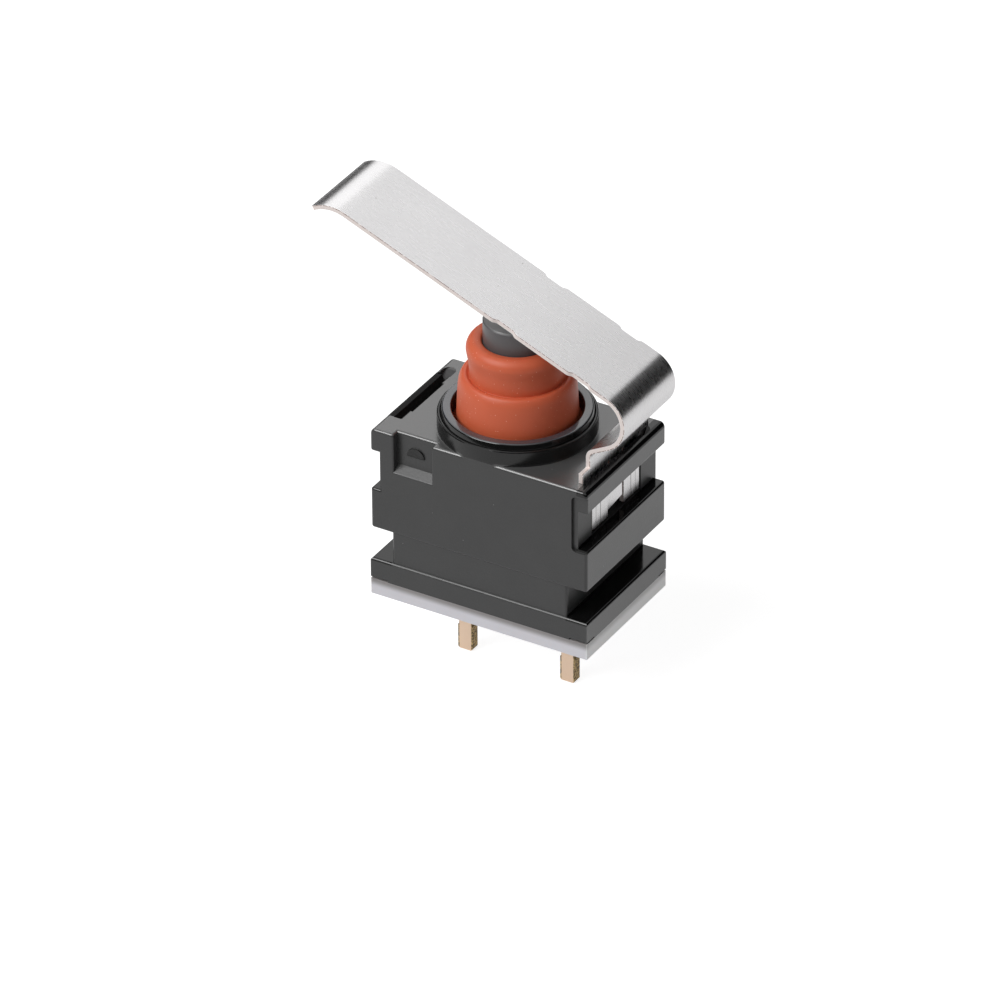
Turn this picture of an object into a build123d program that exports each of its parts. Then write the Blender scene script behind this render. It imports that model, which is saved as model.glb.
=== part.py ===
from build123d import *
from math import atan, cos, radians, sin, tan
import os

os.makedirs("parts", exist_ok=True)

# Sealed micro switch with a leaf lever.
# X runs along the case, the lever's hooked foot is at the +X end and the front face looks along -Y.
# Z is up, and z = 0 is the underside of the pale base plate, the face that lies on a circuit board.
# All sizes are millimetres.

# Footprint and heights of the case
plate_length = 8.3
plate_thick = 0.59
flange_top = 1.39
rib_bottom = 2.59
rib_top = 4.13
top_flange_bottom = 5.58
case_top = 6.43

# Collar, its bore and the floor of the bore
collar_bore_r = 2.57
collar_wall = 0.11
collar_top = 7.0
collar_floor = 6.2
collar_trim = 0.055
collar_r = collar_bore_r + collar_wall

# Outside walls: the body is as deep as the collar, less what is cut flush at the front and back
plate_step = 0.025
plate_round = 0.025
neck_inset_x = 0.775
neck_inset_y = 0.05
groove_depth = 0.375
edge_round = 0.10
shoulder_round = 0.20
body_half_x = plate_length / 2 - plate_step
body_half_y = collar_r - collar_trim
plate_depth = 2 * (body_half_y + plate_step)
neck_half_x = body_half_x - neck_inset_x
neck_half_y = body_half_y - neck_inset_y
groove_half_x = body_half_x - groove_depth

# Front pocket, gate mark, front step and the reliefs under the flange's corners
pocket_left = -3.23
pocket_right = -1.77
pocket_depth = 0.30
pocket_floor = 4.95
pocket_slope = 0.23
pocket_round = 0.07
gate_r = 0.33
gate_offset = -0.025
gate_z = 5.63
gate_height = 0.05
step_inner_x = 3.55
step_depth = 0.10
step_round = 0.18
step_above = 0.25
step_below = 0.08
relief_x = 0.67
relief_y = 0.50
relief_height = 0.07

# Hollow under the case
neck_wall = 0.45
front_wall = 0.625
cavity_top = 5.4
base_fit = 0.05
cavity_half_x = neck_half_x - neck_wall
cavity_half_y = body_half_y - front_wall

# Plunger, slider, spring and contact clip
plunger_r = 1.15
guide_clearance = 0.05
travel = 1.40
make_travel = 0.75
floor_clearance = 0.18
slider_bottom = 3.20
slider_half_x = 1.50
slider_fit = 0.15
stop_gap = 0.02
pocket_top = 6.2
wire_r = 0.09
coil_r = 0.70
coil_gap = 0.13
coil_turns = 5
seat_gap = 0.11
seat_height = 0.40
clip_thick = 0.12
clip_reach = 2.50
fork_clearance = 0.02
fork_arm = 0.28
clip_bottom = slider_bottom - clip_thick
base_block_top = clip_bottom - travel - floor_clearance
slider_half_y = cavity_half_y - slider_fit
spring_pocket_r = coil_r + wire_r + coil_gap

# Terminals and the wells round their legs
terminal_pitch = 3.96
terminal_width = 0.55
terminal_neck_width = 0.47
terminal_thick = 0.35
terminal_bottom = -2.95
terminal_shoulder = -1.95
terminal_chamfer = 0.06
well_length = 1.10
well_depth = 0.90
well_height = 0.15
well_round = 0.20
common_blade_top = slider_bottom + travel
switched_blade_top = clip_bottom - make_travel

# Lever: centre line of the strip in the XZ plane, from the foot to the tip
strip_thick = 0.165
strip_width = 3.37
arm_slope = 22.5
foot_inset = 0.11
foot_rise = 0.937
hook_reach = 2.622
hook_rise = 2.331
arm_reach = 12.454
tip_back = 0.582
tip_drop = 0.343
foot_bend_r = 0.30
hook_r = 1.0
tip_r = 1.35
shoulder_half = 2.16
shoulder_height = 0.36
rest_gap = 0.01
foot_half = 1.55
foot_depth = 2.13
foot_chamfer = 0.08
leg_inner = 0.60
tongue_half = 0.41
tongue_depth = 1.73
tongue_lean = 0.10
notch_long = 0.72
notch_deep = 0.10
notch_places = (0.47, 3.30)
foot_x = groove_half_x - foot_inset
foot_bend_z = case_top + foot_rise
hook_x = foot_x + hook_reach
hook_z = case_top + hook_rise
tip_x = hook_x - arm_reach
tip_z = hook_z + arm_reach * tan(radians(arm_slope))

# Slots that take the foot: wider in the middle for the barb, and open through the groove face
slot_clearance = 0.03
slot_play = 0.07
slot_open = 0.05
barb_slot_half = 1.03
lead_in_r = 0.24
lead_in_long = 0.45
lead_in_deep = 0.25
slot_inner_x = foot_x - strip_thick / 2 - slot_clearance
slot_outer_x = groove_half_x + slot_open
slot_mid_x = (slot_inner_x + slot_outer_x) / 2
slot_half = foot_half + slot_play
lead_in_slope = atan(lead_in_deep / lead_in_long)
lead_in_run = lead_in_long / cos(lead_in_slope)

# Rubber cap: outline radii from the ring up to the crown, and the lip that grips the plunger
ring_fit = 0.01
ring_width = 0.37
ring_bottom = 6.6
ring_top = 7.2
ring_chamfer = 0.04
ring_shoulder = 0.07
ring_shoulder_z = 6.98
cap_flange_fit = 0.17
bell_gap = 0.14
bell_taper = 0.04
bell_shoulder = 0.12
bell_top = 8.36
crease_off_pin = 0.45
crease_z = 8.43
upper_off_pin = 0.54
upper_z = 9.42
crown_off_pin = 0.23
cap_wall = 0.34
ring_inner_r = collar_bore_r - ring_width
cap_flange_r = collar_bore_r - cap_flange_fit
bell_foot_r = ring_inner_r - bell_gap
bell_r = bell_foot_r - bell_taper
bell_top_r = bell_r - bell_shoulder
crease_r = plunger_r + crease_off_pin
upper_r = plunger_r + upper_off_pin
crown_r = plunger_r + crown_off_pin
cap_below_pin = 0.75
lip_below_cap = 0.20
lip_clearance = 0.02
lip_groove = 0.10
lip_height = 0.35
lever_gap = 0.237
arm_drop = (hook_x - plunger_r) * tan(radians(arm_slope)) - strip_thick / 2 / cos(radians(arm_slope))
plunger_top = hook_z + arm_drop - lever_gap
cap_top = plunger_top - cap_below_pin
lip_top = cap_top - lip_below_cap
lip_bottom = lip_top - lip_height

sides = (-1, 1)

# Case: one moulding, open underneath
with BuildPart() as case:
    with BuildSketch(Plane.XY.offset(plate_thick)):
        Rectangle(plate_length, plate_depth)
    extrude(amount=flange_top - plate_thick)
    fillet(case.faces().sort_by(Axis.Z)[-1].edges(), edge_round)
    with BuildSketch(Plane.XY.offset(flange_top)):
        RectangleRounded(2 * neck_half_x, 2 * neck_half_y, edge_round)
    extrude(amount=rib_bottom - flange_top)
    with BuildSketch(Plane.XY.offset(rib_bottom)):
        Rectangle(2 * body_half_x, 2 * body_half_y)
    extrude(amount=case_top - rib_bottom)
    fillet(case.faces().sort_by(Axis.Z)[-1].edges().filter_by(Axis.Y), shoulder_round)
    # pocket in the front face with a sloped floor, open at the top
    with BuildSketch(Plane.YZ.offset(pocket_left)):
        Polygon(
            (-body_half_y - pocket_depth, pocket_floor),
            (-body_half_y, pocket_floor),
            (-body_half_y + pocket_depth, pocket_floor + pocket_slope),
            (-body_half_y + pocket_depth, case_top + pocket_depth),
            (-body_half_y - pocket_depth, case_top + pocket_depth),
            align=None,
        )
    extrude(amount=pocket_right - pocket_left, mode=Mode.SUBTRACT)
    mouth_edges = [
        e for e in case.edges().filter_by(Axis.Z) + case.edges().filter_by(Axis.X)
        if abs(e.center().Y + body_half_y) < 0.01
        and pocket_left - 0.01 < e.center().X < pocket_right + 0.01
        and pocket_floor - 0.01 < e.center().Z < case_top - 0.01
    ]
    fillet(mouth_edges, pocket_round)
    # top edges at the front and back, round the pocket and down the four corners
    rim_edges = [
        e for e in case.faces().sort_by(Axis.Z)[-1].edges()
        if abs(e.center().X) < body_half_x - shoulder_round - 0.01
    ]
    corner_edges = [
        e for e in case.edges().filter_by(Axis.Z)
        if abs(abs(e.center().X) - body_half_x) < 0.01
        and abs(abs(e.center().Y) - body_half_y) < 0.01
        and e.center().Z > rib_bottom
    ]
    fillet(rim_edges + corner_edges, edge_round)
    # grooves along both end faces, between the rib and the top flange
    for side in sides:
        with BuildSketch(Plane.XY.offset(rib_top)):
            with Locations((side * (groove_half_x + groove_depth), 0)):
                Rectangle(2 * groove_depth, 3 * body_half_y)
        extrude(amount=top_flange_bottom - rib_top, mode=Mode.SUBTRACT)
    rib_edges = [
        e for e in case.edges().filter_by(Axis.Y)
        if abs(abs(e.center().X) - body_half_x) < 0.01
        and min(abs(e.center().Z - z) for z in (rib_bottom, rib_top, top_flange_bottom)) < 0.01
    ]
    fillet(rib_edges, 0.8 * edge_round)
    # collar round the cap, cut flush with the front and back faces
    with BuildSketch(Plane.XZ):
        with BuildLine():
            Polyline(
                (collar_bore_r, collar_floor),
                (collar_r, collar_floor),
                (collar_r, collar_top - 0.4 * collar_wall),
                (collar_r - 0.15 * collar_wall, collar_top - 0.12 * collar_wall),
                (collar_r - 0.4 * collar_wall, collar_top),
                (collar_bore_r + 0.2 * collar_wall, collar_top),
                (collar_bore_r, collar_top - 0.2 * collar_wall),
                close=True,
            )
        make_face()
    revolve(axis=Axis.Z)
    for side in sides:
        with BuildSketch(Plane.XY.offset(collar_floor)):
            with Locations((0, side * (body_half_y + collar_wall))):
                Rectangle(2 * collar_r, 2 * collar_wall)
        extrude(amount=collar_top - collar_floor, mode=Mode.SUBTRACT)
    with BuildSketch(Plane.XY.offset(collar_floor)):
        Circle(collar_bore_r)
    extrude(amount=collar_top - collar_floor, mode=Mode.SUBTRACT)
    # hollow for the mechanism, and the plunger's guide hole in its roof
    with BuildSketch(Plane.XY):
        Rectangle(2 * cavity_half_x, 2 * cavity_half_y)
    extrude(amount=cavity_top, mode=Mode.SUBTRACT)
    with BuildSketch(Plane.XY):
        Circle(plunger_r + guide_clearance)
    extrude(amount=collar_top, mode=Mode.SUBTRACT)
    for side in sides:
        with BuildSketch(Plane.XY.offset(rib_top)):
            with Locations((side * slot_mid_x, 0)):
                Rectangle(slot_outer_x - slot_inner_x, 2 * slot_half)
            with Locations((side * (slot_mid_x - tongue_lean / 2), 0)):
                Rectangle(slot_outer_x - slot_inner_x + tongue_lean, 2 * barb_slot_half)
        extrude(amount=case_top - rib_top, mode=Mode.SUBTRACT)
        # round-ended lead-in that slopes down into the slot at its back end
        with BuildSketch(Plane(
            origin=(side * (slot_mid_x + slot_open), slot_half + lead_in_long, case_top),
            x_dir=(1, 0, 0),
            z_dir=(0, -sin(lead_in_slope), cos(lead_in_slope)),
        )):
            with Locations((0, -lead_in_r)):
                Circle(lead_in_r)
            with Locations((0, -(lead_in_r + lead_in_run) / 2)):
                Rectangle(2 * lead_in_r, lead_in_run - lead_in_r)
        extrude(amount=2 * lead_in_r, mode=Mode.SUBTRACT)
    # half-moon gate mark standing on the pocket's wall
    with BuildSketch(Plane.XZ.offset(body_half_y - pocket_depth)):
        with Locations(((pocket_left + pocket_right) / 2 + gate_offset, gate_z)):
            Circle(gate_r)
            with Locations((0, -gate_r)):
                Rectangle(3 * gate_r, 2 * gate_r, mode=Mode.SUBTRACT)
    extrude(amount=gate_height)
    # shallow step in the front face at the lever's end, with rounded inner corners
    step_low = rib_top - step_below
    step_high = case_top - step_above
    with BuildSketch(Plane.XZ.offset(body_half_y)):
        with Locations((step_inner_x + plate_length / 8, (step_low + step_high) / 2)):
            RectangleRounded(plate_length / 4, step_high - step_low, step_round)
    extrude(amount=-step_depth, mode=Mode.SUBTRACT)
    # reliefs under the flange's corners
    with BuildSketch(Plane.XY.offset(plate_thick)):
        with GridLocations(plate_length, plate_depth, 2, 2):
            Rectangle(2 * relief_x, 2 * relief_y)
    extrude(amount=relief_height, mode=Mode.SUBTRACT)
case.part.label = "case"

# Base: the pale plate and the block that fills the mouth of the case
with BuildPart() as base:
    with BuildSketch(Plane.XY):
        RectangleRounded(plate_length, plate_depth, plate_round)
    extrude(amount=plate_thick)
    with BuildSketch(Plane.XY.offset(plate_thick)):
        Rectangle(2 * (cavity_half_x - base_fit), 2 * (cavity_half_y - base_fit))
    extrude(amount=base_block_top - plate_thick)
    # seat boss inside the coil
    with BuildSketch(Plane.XY.offset(base_block_top)):
        Circle(coil_r - wire_r - seat_gap)
    extrude(amount=seat_height)
    chamfer(base.faces().sort_by(Axis.Z)[-1].edges(), 0.2 * seat_height)
    for side in sides:
        with BuildSketch(Plane.XY):
            with Locations((side * terminal_pitch / 2, 0)):
                Rectangle(terminal_neck_width, terminal_thick)
        extrude(amount=base_block_top, mode=Mode.SUBTRACT)
        with BuildSketch(Plane.XY):
            with Locations((side * terminal_pitch / 2, 0)):
                RectangleRounded(well_length, well_depth, well_round)
        extrude(amount=well_height, mode=Mode.SUBTRACT)
base.part.label = "base"

# Terminals: leg, neck through the base and blade inside the case, moulded into the base
with BuildPart() as terminal_common:
    with BuildSketch(Plane.XY.offset(terminal_bottom)):
        with Locations((-terminal_pitch / 2, 0)):
            Rectangle(terminal_width, terminal_thick)
    extrude(amount=terminal_shoulder - terminal_bottom)
    chamfer(terminal_common.edges().filter_by(Axis.Y), terminal_chamfer)
    with BuildSketch(Plane.XY.offset(terminal_shoulder)):
        with Locations((-terminal_pitch / 2, 0)):
            Rectangle(terminal_neck_width, terminal_thick)
    extrude(amount=base_block_top - terminal_shoulder)
    with BuildSketch(Plane.XY.offset(base_block_top)):
        with Locations((-terminal_pitch / 2, 0)):
            Rectangle(terminal_width, terminal_thick)
    extrude(amount=common_blade_top - base_block_top)
    chamfer(terminal_common.faces().sort_by(Axis.Z)[-1].edges(), terminal_chamfer)
terminal_common.part.label = "terminal_common"

with BuildPart() as terminal_switched:
    with BuildSketch(Plane.XY.offset(terminal_bottom)):
        with Locations((terminal_pitch / 2, 0)):
            Rectangle(terminal_width, terminal_thick)
    extrude(amount=terminal_shoulder - terminal_bottom)
    chamfer(terminal_switched.edges().filter_by(Axis.Y), terminal_chamfer)
    with BuildSketch(Plane.XY.offset(terminal_shoulder)):
        with Locations((terminal_pitch / 2, 0)):
            Rectangle(terminal_neck_width, terminal_thick)
    extrude(amount=base_block_top - terminal_shoulder)
    with BuildSketch(Plane.XY.offset(base_block_top)):
        with Locations((terminal_pitch / 2, 0)):
            Rectangle(terminal_width, terminal_thick)
    extrude(amount=switched_blade_top - base_block_top)
    chamfer(terminal_switched.faces().sort_by(Axis.Z)[-1].edges(), terminal_chamfer)
terminal_switched.part.label = "terminal_switched"

# Sealing beads: epoxy that fills the wells round the legs
with BuildPart() as seal_common:
    with BuildSketch(Plane.XY):
        with Locations((-terminal_pitch / 2, 0)):
            RectangleRounded(well_length, well_depth, well_round)
            Rectangle(terminal_neck_width, terminal_thick, mode=Mode.SUBTRACT)
    extrude(amount=well_height)
seal_common.part.label = "seal_common"

with BuildPart() as seal_switched:
    with BuildSketch(Plane.XY):
        with Locations((terminal_pitch / 2, 0)):
            RectangleRounded(well_length, well_depth, well_round)
            Rectangle(terminal_neck_width, terminal_thick, mode=Mode.SUBTRACT)
    extrude(amount=well_height)
seal_switched.part.label = "seal_switched"

# Plunger: the pin, its groove for the cap's lip, and the slider block with the spring's pocket
with BuildPart() as plunger:
    with BuildSketch(Plane.XY.offset(slider_bottom)):
        RectangleRounded(2 * slider_half_x, 2 * slider_half_y, 0.1 * slider_half_y)
    extrude(amount=cavity_top - stop_gap - slider_bottom)
    with BuildSketch(Plane.XY.offset(slider_bottom)):
        Circle(plunger_r)
    extrude(amount=plunger_top - slider_bottom)
    chamfer(plunger.faces().sort_by(Axis.Z)[-1].edges(), 0.04 * plunger_r)
    with BuildSketch(Plane.XY.offset(lip_bottom - lip_clearance)):
        Circle(1.5 * plunger_r)
        Circle(plunger_r - lip_groove, mode=Mode.SUBTRACT)
    extrude(amount=lip_height + 2 * lip_clearance, mode=Mode.SUBTRACT)
    with BuildSketch(Plane.XY.offset(slider_bottom)):
        Circle(spring_pocket_r)
    extrude(amount=pocket_top - slider_bottom, mode=Mode.SUBTRACT)
plunger.part.label = "plunger"

# Contact clip: a forked bridge under the slider whose arms rub both faces of each blade
fork_gap_half = terminal_thick / 2 + fork_clearance
fork_root = terminal_pitch / 2 - terminal_width / 2 - 2 * fork_clearance
with BuildPart() as contact_clip:
    with BuildSketch(Plane.XY.offset(clip_bottom)):
        RectangleRounded(2 * slider_half_x, 1.5 * slider_half_y, 0.1 * slider_half_x)
        Rectangle(2 * clip_reach, 2 * (fork_gap_half + fork_arm))
        Circle(spring_pocket_r, mode=Mode.SUBTRACT)
        for side in sides:
            with Locations((side * (fork_root + clip_reach) / 2, 0)):
                Rectangle(clip_reach - fork_root, 2 * fork_gap_half, mode=Mode.SUBTRACT)
    extrude(amount=clip_thick)
contact_clip.part.label = "contact_clip"

# Return spring: a coil from the base's seat to the pocket's end, its wire drawn with six sides
coil_low = base_block_top + wire_r + rest_gap
coil_high = pocket_top - wire_r - rest_gap
coil_rise = coil_high - coil_low
with BuildPart() as return_spring:
    with BuildLine() as coil_path:
        Helix(coil_rise / coil_turns, coil_rise, coil_r, center=(0, 0, coil_low))
    with BuildSketch(Plane(origin=coil_path.line @ 0, z_dir=coil_path.line % 0)):
        RegularPolygon(wire_r, 6)
    sweep(path=coil_path.line, is_frenet=True)
return_spring.part.label = "return_spring"

# Rubber cap: clamped flange, lower bell, crease, upper bell and the lip in the plunger's groove
lip_r = plunger_r - lip_groove + lip_clearance
hole_r = plunger_r + lip_clearance
with BuildPart() as rubber_cap:
    with BuildSketch(Plane.XZ):
        with BuildLine():
            outside = Polyline(
                (bell_foot_r - cap_wall, collar_floor),
                (cap_flange_r, collar_floor),
                (cap_flange_r, ring_bottom),
                (bell_foot_r, ring_bottom),
                (bell_r, ring_top),
                (bell_r - 0.5 * (bell_r - bell_top_r), bell_top - 0.3 * crease_r / 2),
                (bell_top_r, bell_top),
                ((bell_top_r + crease_r) / 2, crease_z + 0.06),
                (crease_r, crease_z),
                (crease_r + 0.2 * (upper_r - crease_r), crease_z + 0.37),
                (upper_r, upper_z),
                (upper_r - 0.05, upper_z + 0.2),
                ((upper_r + crown_r) / 2, cap_top - 0.07),
                (crown_r, cap_top),
                ((crown_r + hole_r) / 2, cap_top - 0.06),
                (hole_r, cap_top - 0.08),
            )
            Polyline(
                outside @ 1,
                (hole_r, lip_top),
                (lip_r, lip_top),
                (lip_r, lip_bottom),
                (upper_r - cap_wall, lip_bottom - 0.12),
                (crease_r - 0.8 * cap_wall, crease_z - 0.15),
                (bell_top_r - cap_wall, bell_top - 0.3),
                (bell_r - cap_wall, bell_top - 0.5),
                (bell_foot_r - cap_wall, collar_floor),
            )
        make_face()
    revolve(axis=Axis.Z)
rubber_cap.part.label = "rubber_cap"

# Retaining ring: pressed into the collar above the cap's flange, sloped down to the collar's rim
ring_outer_r = collar_bore_r - ring_fit
with BuildPart() as retaining_ring:
    with BuildSketch(Plane.XZ):
        Polygon(
            (ring_inner_r, ring_bottom),
            (ring_outer_r, ring_bottom),
            (ring_outer_r, ring_shoulder_z),
            (ring_outer_r - ring_shoulder, ring_top),
            (ring_inner_r + ring_chamfer, ring_top),
            (ring_inner_r, ring_top - ring_chamfer),
            align=None,
        )
    revolve(axis=Axis.Z)
retaining_ring.part.label = "retaining_ring"

# Lever: one bent strip with shoulders, two foot legs and a barb between them
foot_end_z = case_top + rest_gap
foot_bottom = case_top - foot_depth
strip_inner_x = foot_x - strip_thick / 2
arm_dir = (cos(radians(arm_slope)), 0, -sin(radians(arm_slope)))
arm_up = (sin(radians(arm_slope)), 0, cos(radians(arm_slope)))
with BuildPart() as lever:
    with BuildSketch(Plane.XZ):
        with BuildLine():
            FilletPolyline(
                (foot_x, foot_end_z),
                (foot_x, foot_bend_z),
                (hook_x, hook_z),
                (tip_x, tip_z),
                (tip_x - tip_back, tip_z - tip_drop),
                radius=(foot_bend_r, hook_r, tip_r),
            )
        trace(line_width=strip_thick)
    extrude(amount=strip_width / 2, both=True)
    with BuildSketch(Plane.YZ.offset(strip_inner_x)):
        with Locations((0, foot_end_z + shoulder_height / 2)):
            RectangleRounded(2 * shoulder_half, shoulder_height, foot_chamfer)
        for side in sides:
            Polygon(
                (side * leg_inner, foot_end_z + foot_chamfer),
                (side * foot_half, foot_end_z + foot_chamfer),
                (side * foot_half, foot_bottom + foot_chamfer),
                (side * (foot_half - foot_chamfer), foot_bottom),
                (side * (leg_inner + foot_chamfer), foot_bottom),
                (side * leg_inner, foot_bottom + foot_chamfer),
                align=None,
            )
    extrude(amount=strip_thick)
    # barb: the tongue between the legs leans towards the axis and grips the slot's wall
    with BuildSketch(Plane.XZ):
        Polygon(
            (strip_inner_x, foot_end_z + foot_chamfer),
            (strip_inner_x + strip_thick, foot_end_z + foot_chamfer),
            (strip_inner_x + strip_thick - tongue_lean, case_top - tongue_depth),
            (strip_inner_x - tongue_lean, case_top - tongue_depth),
            align=None,
        )
    extrude(amount=tongue_half, both=True)
    # shallow round-ended notches in both edges of the arm, left by the strip's carrier
    for notch_x in notch_places:
        notch_z = hook_z + (hook_x - notch_x) * tan(radians(arm_slope))
        with BuildSketch(Plane(origin=(notch_x, 0, notch_z), x_dir=arm_dir, z_dir=arm_up)):
            for side in sides:
                with Locations((0, side * strip_width / 2)):
                    RectangleRounded(notch_long, 2 * notch_deep, 0.9 * notch_deep)
        extrude(amount=2 * strip_thick, both=True, mode=Mode.SUBTRACT)
lever.part.label = "lever"

export_step(case.part, "parts/case.step")
export_step(base.part, "parts/base.step")
export_step(terminal_common.part, "parts/terminal_common.step")
export_step(terminal_switched.part, "parts/terminal_switched.step")
export_step(seal_common.part, "parts/seal_common.step")
export_step(seal_switched.part, "parts/seal_switched.step")
export_step(plunger.part, "parts/plunger.step")
export_step(contact_clip.part, "parts/contact_clip.step")
export_step(return_spring.part, "parts/return_spring.step")
export_step(rubber_cap.part, "parts/rubber_cap.step")
export_step(retaining_ring.part, "parts/retaining_ring.step")
export_step(lever.part, "parts/lever.step")
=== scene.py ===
# %% [markdown]
# # A sealed micro switch with a leaf lever
#
# The part is a switch about eight millimetres long. A black moulded case stands on a pale plate, an
# orange rubber cap seals the plunger, and a bent leaf of stainless steel is hooked into one end.
# The solid pieces come from the CAD model, which is loaded first and never moved. This script gives
# every surface its finish, and remakes the pieces that bend: the leaf, the rubber cap and the coil.
# It also remakes the retaining ring, because its rounded rim is what catches the light.

# %% Load the CAD frame
import math

import bpy
import numpy as np
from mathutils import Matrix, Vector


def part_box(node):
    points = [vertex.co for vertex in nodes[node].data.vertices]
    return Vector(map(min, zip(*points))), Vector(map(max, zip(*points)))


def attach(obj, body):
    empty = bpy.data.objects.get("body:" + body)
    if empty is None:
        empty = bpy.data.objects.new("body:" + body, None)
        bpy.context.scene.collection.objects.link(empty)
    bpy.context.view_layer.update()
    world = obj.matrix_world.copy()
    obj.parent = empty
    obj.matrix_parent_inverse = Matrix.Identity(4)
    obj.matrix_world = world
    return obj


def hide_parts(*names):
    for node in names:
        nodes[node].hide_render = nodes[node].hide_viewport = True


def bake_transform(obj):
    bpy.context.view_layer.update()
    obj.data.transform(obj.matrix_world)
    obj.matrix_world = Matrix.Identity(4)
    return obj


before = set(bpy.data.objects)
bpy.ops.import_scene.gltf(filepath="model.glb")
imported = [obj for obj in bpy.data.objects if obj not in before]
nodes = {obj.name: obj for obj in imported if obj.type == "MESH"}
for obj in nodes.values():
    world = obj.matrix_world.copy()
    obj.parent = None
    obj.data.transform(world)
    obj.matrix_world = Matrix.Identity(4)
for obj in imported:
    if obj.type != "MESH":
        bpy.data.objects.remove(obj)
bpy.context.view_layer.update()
print("CAD nodes:", sorted(nodes))

# %% [markdown]
# ## Units
#
# Blender works in metres here, as the CAD model does, but this switch is easier to think about in
# millimetres. Every size below is written in millimetres, and one factor turns it into metres at the
# moment a mesh is made.

# %% One unit for every size
MM = 0.001


def span_of(node):
    """Lowest and highest corner of a CAD node, in millimetres."""
    low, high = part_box(node)
    return np.array(low) / MM, np.array(high) / MM


case_low, case_high = span_of("case")
print("the case measures", np.round(case_high - case_low, 3).tolist(), "mm")

# %% [markdown]
# ## The camera
#
# The photograph was taken from the front and the right, about a third of the way up. Four corners of
# the pale plate fix the camera: its direction, its roll and how far off centre the switch stands.
# A long lens at a fixed distance keeps the perspective as gentle as it is in the photograph. The
# switch stands off centre because the camera is moved sideways and up, with no lens shift.

# %% Set the camera
view_azimuth = math.radians(30.5035)
view_elevation = math.radians(32.1061)
view_roll = math.radians(-0.3181)
camera_distance = 300.0
camera_right_move = -0.619
camera_up_move = 2.961
lens_mm = 323.55


def camera_axes(azimuth, elevation, roll):
    """Unit vectors right, up and back of a camera that looks at the origin from the given angles."""
    back = np.array(
        (
            math.sin(azimuth) * math.cos(elevation),
            -math.cos(azimuth) * math.cos(elevation),
            math.sin(elevation),
        )
    )
    right = np.array((math.cos(azimuth), math.sin(azimuth), 0.0))
    up = np.cross(back, right)
    turned_right = right * math.cos(roll) + up * math.sin(roll)
    turned_up = up * math.cos(roll) - right * math.sin(roll)
    return turned_right, turned_up, back


right, up, back = camera_axes(view_azimuth, view_elevation, view_roll)
place = back * camera_distance + right * camera_right_move + up * camera_up_move
camera_data = bpy.data.cameras.new("photo_camera")
camera_data.lens = lens_mm
camera_data.sensor_width = 36.0
camera_data.clip_start = 0.01
camera = bpy.data.objects.new("photo_camera", camera_data)
bpy.context.scene.collection.objects.link(camera)
pose = np.eye(4)
pose[:3, 0], pose[:3, 1], pose[:3, 2], pose[:3, 3] = right, up, back, place * MM
camera.matrix_world = pose.T.tolist()
bpy.context.scene.camera = camera
print("camera stands at", [round(float(c), 1) for c in place], "mm")

# %% [markdown]
# ## Making a mesh from arrays
#
# Each remade piece is a surface worked out as whole arrays of points. A grid of points needs only a
# rule that joins each point to its neighbours. The rule below can wrap round in either direction, so
# the same few lines serve a ring, a bell and a coil of wire.


# %% Helpers that turn arrays into pieces
def grid_quads(rows, columns, wrap_rows=False, wrap_columns=False):
    """Four corner numbers for each cell of a grid whose points are numbered row by row."""
    row = np.arange(rows if wrap_rows else rows - 1)
    column = np.arange(columns if wrap_columns else columns - 1)
    r, c = np.meshgrid(row, column, indexing="ij")
    r_next, c_next = (r + 1) % rows, (c + 1) % columns
    corners = (r * columns + c, r * columns + c_next, r_next * columns + c_next, r_next * columns + c)
    return np.stack(corners, axis=-1).reshape(-1, 4)


def make_piece(name, points, faces):
    """A smooth-shaded mesh object from points in millimetres, standing at the origin."""
    mesh = bpy.data.meshes.new(name)
    face_list = faces.tolist() if isinstance(faces, np.ndarray) else faces
    mesh.from_pydata((np.asarray(points) * MM).tolist(), [], face_list)
    mesh.validate()
    mesh.polygons.foreach_set("use_smooth", np.ones(len(mesh.polygons), dtype=bool))
    piece = bpy.data.objects.new(name, mesh)
    bpy.context.scene.collection.objects.link(piece)
    print(name, "has", len(mesh.vertices), "points and", len(mesh.polygons), "faces")
    return piece


def lathe(profile, segments):
    """Turns a closed outline of (radius, height) round Z: x = r cos a, y = r sin a, z = height."""
    turn = np.linspace(0.0, 2.0 * np.pi, segments, endpoint=False)
    radius, height = profile[:, 0], profile[:, 1]
    x = np.outer(radius, np.cos(turn))
    y = np.outer(radius, np.sin(turn))
    z = np.repeat(height[:, None], segments, axis=1)
    points = np.stack((x, y, z), axis=-1).reshape(-1, 3)
    return points, grid_quads(len(profile), segments, True, True)


def rounded_outline(corners, radii, per_corner=6):
    """A closed outline whose corners are arcs. Each arc starts and ends radius * tan(turn / 2) from its
    corner, and its points lie on the circle that touches both sides."""
    corners = np.asarray(corners, float)
    radii = np.asarray(radii, float)[:, None]
    to_next = np.roll(corners, -1, axis=0) - corners
    to_next /= np.linalg.norm(to_next, axis=1, keepdims=True)
    to_last = -np.roll(to_next, 1, axis=0)
    inward = to_next + to_last
    inward /= np.maximum(np.linalg.norm(inward, axis=1, keepdims=True), 1e-9)
    half = np.arccos(np.clip((to_next * inward).sum(1, keepdims=True), -1.0, 1.0))
    centre = corners + inward * radii / np.sin(half)
    start = to_last * radii / np.tan(half) + corners - centre
    end = to_next * radii / np.tan(half) + corners - centre
    share = np.linspace(0.0, 1.0, per_corner)[None, :, None]
    chord = start[:, None] * (1.0 - share) + end[:, None] * share
    chord /= np.maximum(np.linalg.norm(chord, axis=2, keepdims=True), 1e-9)
    return (centre[:, None] + chord * radii[:, None]).reshape(-1, 2)


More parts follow.
